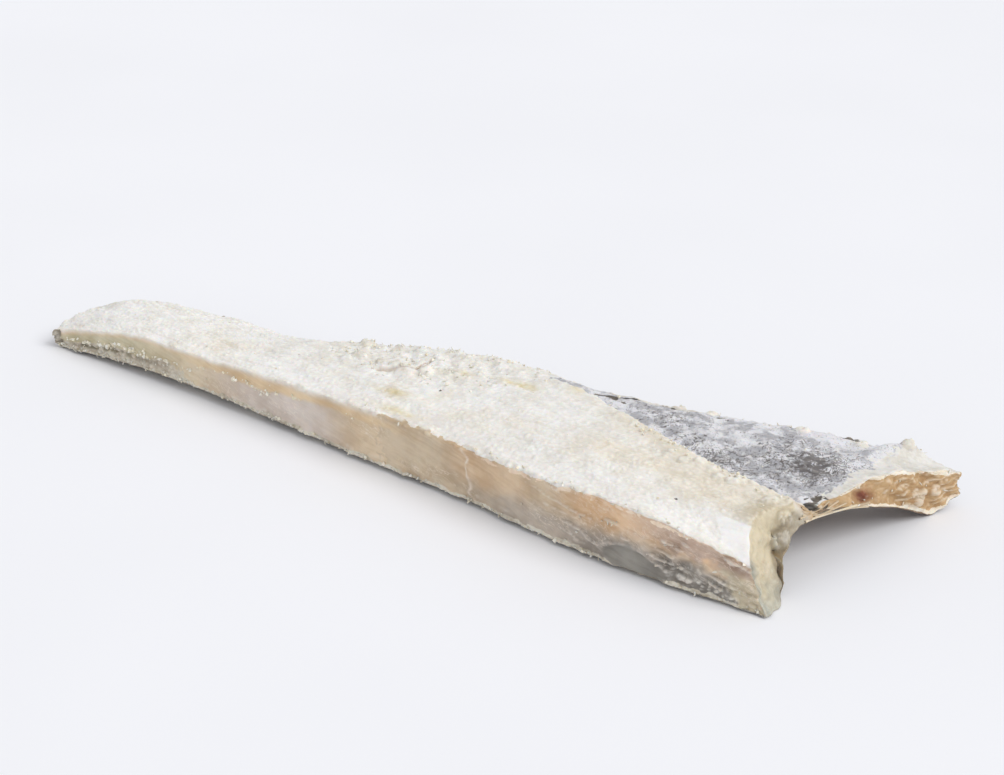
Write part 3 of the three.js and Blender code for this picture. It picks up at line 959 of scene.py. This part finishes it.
def flesh_material():
    shader = Shader("salted_flesh")
    broad = shader.noise(0.02, 4)
    fine = shader.noise(0.0024, 5, 0.65)
    ragged = shader.noise(0.0035, 4, 0.6, 0.5)
    flakes = shader.noise((0.006, 0.0034, 0.0034), 3, 0.6, 0.6)
    striations = shader.noise((0.026, 0.006, 0.0014), 3, 0.5, 0.0, FIBRE_TURN)
    tone = shader.range(shader.total((broad, 0.5), (fine, 0.2), (flakes, 0.3)), 0.38, 0.6)
    cut_tone = shader.range(shader.total((broad, 0.75), (striations, 0.25)), 0.36, 0.64)
    edge = shader.range(ragged, 0.3, 0.7, -0.3, 0.3)
    colour = layer_colour(shader, "salt", tone)
    for name in LAYERS:
        own = layer_colour(shader, name, cut_tone if name in CUT_LAYERS else tone)
        if name == "lining":
            own = lining_colour(shader, fine)
        factor = shader.mask(name)
        if name in CRISP_LAYERS:
            inside = shader.range(factor, 0.02, 0.1)
            factor = shader.times(shader.range(shader.math("ADD", factor, edge), 0.4, 0.6), inside)
        colour = shader.mix(factor, colour, own)
    fibre = shader.threads((0.012, 0.006, 0.0035), 0.025, 3, 0.6, 0.8, SLANT_TURN)
    fibre = shader.times(shader.times(fibre, shader.mask("fibres")), 0.85)
    colour = shader.mix(fibre, colour, srgb(*COLOURS["line"][0]))
    # Painted shade in the hollows of the fine relief and a painted highlight on its ridges
    colour = shader.relief_mix(colour, "hollow", 0.3, srgb(222, 212, 196), "MULTIPLY")
    colour = shader.relief_mix(colour, "ridge", 0.25, srgb(244, 241, 234))
    grain = shader.node("ShaderNodeBump", {"Height": fine, "Strength": 0.5, "Distance": 0.0008})
    moist = shader.total((shader.mask("cut"), 1), (shader.mask("soft_cut"), 1), (shader.mask("end"), 1))
    return shader.finish(colour, shader.range(moist, 0.0, 1.0, 0.75, 0.42), Normal=grain.outputs["Normal"],
                         Subsurface_Weight=0.35, Subsurface_Radius=(1.0, 0.7, 0.45), Subsurface_Scale=0.003)


def crumb_material(name, light, shade, roughness):
    """Each crumb has a colour of its own between the two, by its number tone."""
    shader = Shader(name)
    colour = shader.mix(shader.mask("tone"), srgb(*shade), srgb(*light))
    return shader.finish(colour, roughness, Subsurface_Weight=0.35, Subsurface_Radius=(1.0, 0.8, 0.6),
                         Subsurface_Scale=0.0015)


# Salt crystals and torn shreds: many small closed pieces in one mesh for each kind. Numbers and
# sizes, in metres, and the widths of a shred from its root to its tip.
CRUMB_SEED = 12
CRYSTALS = 360
CRYSTAL_SIZE = (0.0006, 0.002)
SHREDS = 1000
SHRED = {"length": (0.0012, 0.003), "width": 0.0012, "thickness": 0.0005, "lift": (0.1, 0.9)}
SHRED_TAPER = (0.8, 1.0, 0.75, 0.2)
BLOCK_CORNERS = 2.0 * np.array(list(np.ndindex(2, 2, 2))) - 1
BLOCK_FACES = ((0, 1, 3, 2), (4, 6, 7, 5), (0, 4, 5, 1), (2, 3, 7, 6), (0, 2, 6, 4), (1, 5, 7, 3))


def random_turns(rng, count):
    """Random rotations as 3 x 3 matrices."""
    return np.array([Quaternion(turn).to_matrix() for turn in unit(rng.normal(size=(count, 4)))])


def scatter(rng, weights, count):
    return rng.choice(len(weights), count, p=weights / weights.sum())


def joined(corners, faces):
    """One mesh from many pieces that have the same faces, with each piece's corners in a row."""
    first = corners.shape[1] * np.arange(len(corners))
    return corners.reshape(-1, 3), (np.array(faces) + first[:, None, None]).reshape(-1, 4)


def crystal_mesh(rng, points, normals, chosen, smallest, largest):
    count = len(chosen)
    size = lerp(smallest, largest, rng.random(count) ** 2)
    shape = BLOCK_CORNERS[None] * (0.6 + 0.5 * rng.random((count, 8, 3))) * size[:, None, None] * 0.5
    shape = np.einsum("nij,nkj->nki", random_turns(rng, count), shape)
    centres = points[chosen] + normals[chosen] * (0.1 * size)[:, None]
    return joined(shape + centres[:, None], BLOCK_FACES)


def tube_faces(steps, sides):
    """The side faces of a tube whose rings of corners follow one another."""
    faces = []
    for k in range(steps):
        for i in range(sides):
            here, following = sides * k + i, sides * k + (i + 1) % sides
            faces.append((here, here + sides, following + sides, following))
    return faces


def shred_mesh(rng, points, normals, chosen, length, width, thickness, lift):
    """Flat, bent, ragged shreds that lean out of the surface, each a closed four-sided strip."""
    count = len(chosen)
    normal = normals[chosen]
    tangent = unit(np.cross(normal, rng.normal(size=(count, 3))))
    angle = lerp(*lift, rng.random(count))[:, None]
    heading = unit(tangent * np.cos(angle) + normal * np.sin(angle))
    sideways = unit(np.cross(heading, normal))
    upwards = np.cross(sideways, heading)
    reach = lerp(*length, rng.random(count) ** 1.5)
    bend = rng.uniform(-0.35, 0.2, count) * reach
    steps = len(SHRED_TAPER) - 1
    rings = []
    for k, taper in enumerate(SHRED_TAPER):
        along = k / steps
        wobble = taper * rng.uniform(0.7, 1.25, count)
        centre = points[chosen] + heading * (reach * (along - 0.15))[:, None]
        centre = centre + upwards * (bend * along ** 2)[:, None]
        half = sideways * (0.5 * width * wobble)[:, None]
        high = upwards * (0.5 * thickness * wobble)[:, None]
        rings.append(np.stack([centre - half, centre - high, centre + half, centre + high], axis=1))
    corners = np.concatenate(rings, axis=1)
    last = 4 * steps
    faces = [(0, 1, 2, 3)] + tube_faces(steps, 4) + [(last, last + 3, last + 2, last + 1)]
    return joined(corners, faces)


# Strands of the thin skin between the loin's corner and the flap's end: c and h where each begins
# and ends on the end face, and its radius in mm
STRANDS = (
    ((0.5, 0.05), (0.66, 0.1), 0.6),
    ((0.49, 0.3), (0.64, 0.35), 0.45),
    ((0.505, 0.5), (0.62, 0.65), 0.5),
    ((0.51, 0.75), (0.6, 0.9), 0.4),
    ((0.53, 0.0), (0.7, 0.2), 0.4),
    ((0.5, 0.35), (0.69, 0.0), 0.35),
)
STRAND_STEPS = 16
STRAND_SIDES = 6
STRAND_SAG = 1.5


def strand_mesh():
    """Thin bent tubes across the end face."""
    turns = 2 * np.pi * np.arange(STRAND_SIDES) / STRAND_SIDES
    ring = np.stack([np.cos(turns), np.zeros(STRAND_SIDES), np.sin(turns)], axis=1)
    share = np.linspace(0, 1, STRAND_STEPS + 1)
    arch = np.sin(np.pi * share)
    strands = []
    for (c_from, h_from), (c_to, h_to), radius in STRANDS:
        path = smooth_points(np.ones(len(share)), lerp(c_from, c_to, share), lerp(h_from, h_to, share))
        path[:, 0] += 0.4 + 0.8 * arch
        path[:, 2] -= STRAND_SAG * arch
        thick = radius * (0.75 + 0.5 * np.abs(2 * share - 1))
        points = path[:, None] + thick[:, None, None] * ring[None]
        strands.append(to_frame(points.reshape(-1, 3)))
    return joined(np.array(strands), tube_faces(STRAND_STEPS, STRAND_SIDES))


# How far crumbs may come to the ground and above the solid, in metres
CRUMB_GAP = 0.0001
CRUMB_RISE = 0.0006


def add_crumbs(name, mesh, tones, material, smooth=False):
    points, faces = mesh
    low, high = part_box(NODE)
    points[:, 2] = np.clip(points[:, 2], low[2] + CRUMB_GAP, high[2] + CRUMB_RISE)
    piece = mesh_object(name, points, faces, material, smooth)
    set_numbers(piece, "tone", np.repeat(tones, len(points) // len(tones)))
    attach(piece, "root")


# Making the pieces

body = Body()
masks = make_masks(body)
placed = to_frame(add_relief(body, masks))
flesh = mesh_object("salted_cod", placed, body.quads, flesh_material())
for mask_name in LAYERS + FINE_MASKS:
    set_numbers(flesh, mask_name, limit(getattr(masks, mask_name)))
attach(flesh, "root")
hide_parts(NODE)

rng = np.random.default_rng(CRUMB_SEED)
normals = point_normals(placed, body.quads)
reachable = (1 - body.bottom) * fade(0.0005, 0.002, placed[:, 2])
rim_crumbs = bell(body.near_rim, -1, 2) * (1 - masks.facet) * (1 - body.head) * fade(0.44, 0.52, body.s)
step_crumbs = fade(0.68, 0.8, body.s) * bell(body.c, 0.495, 0.03) * body.top
mound_crumbs = on_mound(body.s, body.c) * body.top
crystal_weights = reachable * (0.0004 * body.top + 1.0 * masks.beads + 0.03 * masks.fringe
                               + 0.3 * masks.crag * masks.gloom + 0.02 * rim_crumbs
                               + 0.03 * step_crumbs + 0.01 * mound_crumbs)
crystals = crystal_mesh(rng, placed, normals, scatter(rng, crystal_weights, CRYSTALS), *CRYSTAL_SIZE)
grains = crumb_material("salt_grains", (248, 244, 231), (232, 222, 198), 0.45)
add_crumbs("salt_crystals", crystals, rng.random(CRYSTALS), grains)

shred_weights = reachable * (0.0005 * body.top + 0.1 * masks.crust + 0.5 * masks.fringe + 0.2 * rim_crumbs
                             + 0.2 * step_crumbs + 0.12 * mound_crumbs + 0.04 * masks.tan
                             + 0.02 * masks.torn + 0.1 * body.far)
shreds = shred_mesh(rng, placed, normals, scatter(rng, shred_weights, SHREDS), **SHRED)
torn_flesh = crumb_material("torn_flesh", (242, 238, 226), (216, 206, 184), 0.6)
add_crumbs("torn_shreds", shreds, rng.random(SHREDS), torn_flesh, smooth=True)

strand_skin = crumb_material("skin_strands", (226, 210, 182), (176, 150, 118), 0.5)
strand_tones = rng.random(len(STRANDS))
add_crumbs("skin_strands", strand_mesh(), strand_tones, strand_skin, smooth=True)


# Floor, lights and camera. The camera stands at the head end's side of the cut face, as the
# photograph's did.
FLOOR_SIZE = 40
FLOOR_COLOURS = (srgb(243, 244, 247), srgb(245, 246, 249))
SKY_COLOUR = srgb(252, 252, 255)
SKY_STRENGTH = 0.65
SUN = {"forward": (-0.7, -0.1, -0.7), "strength": 1.58, "spread": 38}
CAMERA_PLACE = (0.6285, -0.7783, 0.5091)
CAMERA_FORWARD = (-0.550, 0.711, -0.438)
CAMERA_LENS = 70
CAMERA_SENSOR = 36


def add_floor():
    shader = Shader("pale_floor")
    faint = shader.range(shader.noise(0.3, 2), 0.3, 0.7)
    colour = shader.mix(faint, *FLOOR_COLOURS)
    corners = FLOOR_SIZE / 2 * np.array([(-1, -1, 0), (1, -1, 0), (1, 1, 0), (-1, 1, 0)])
    floor = mesh_object("floor", corners, np.array([(0, 1, 2, 3)]), shader.finish(colour, 0.9), False)


def look(item, forward):
    """Turns a light or camera to look forward."""
    item.rotation_euler = Vector(forward).to_track_quat("-Z", "Y").to_euler()


def add_lights():
    """An even pale sky and one broad, soft light from far away."""
    world = bpy.data.worlds.new("studio")
    world.use_nodes = True
    background = world.node_tree.nodes["Background"]
    background.inputs["Color"].default_value = SKY_COLOUR
    background.inputs["Strength"].default_value = SKY_STRENGTH
    bpy.context.scene.world = world
    light = bpy.data.lights.new("right_softbox", "SUN")
    light.energy = SUN["strength"]
    light.angle = math.radians(SUN["spread"])
    look(add_object("right_softbox", light), SUN["forward"])


def add_camera():
    camera = add_object("camera", bpy.data.cameras.new("camera"))
    camera.data.lens = CAMERA_LENS
    camera.data.sensor_width = CAMERA_SENSOR
    camera.location = CAMERA_PLACE
    look(camera, CAMERA_FORWARD)
    bpy.context.scene.camera = camera


add_floor()
add_lights()
add_camera()
bpy.context.scene.view_settings.view_transform = "Standard"
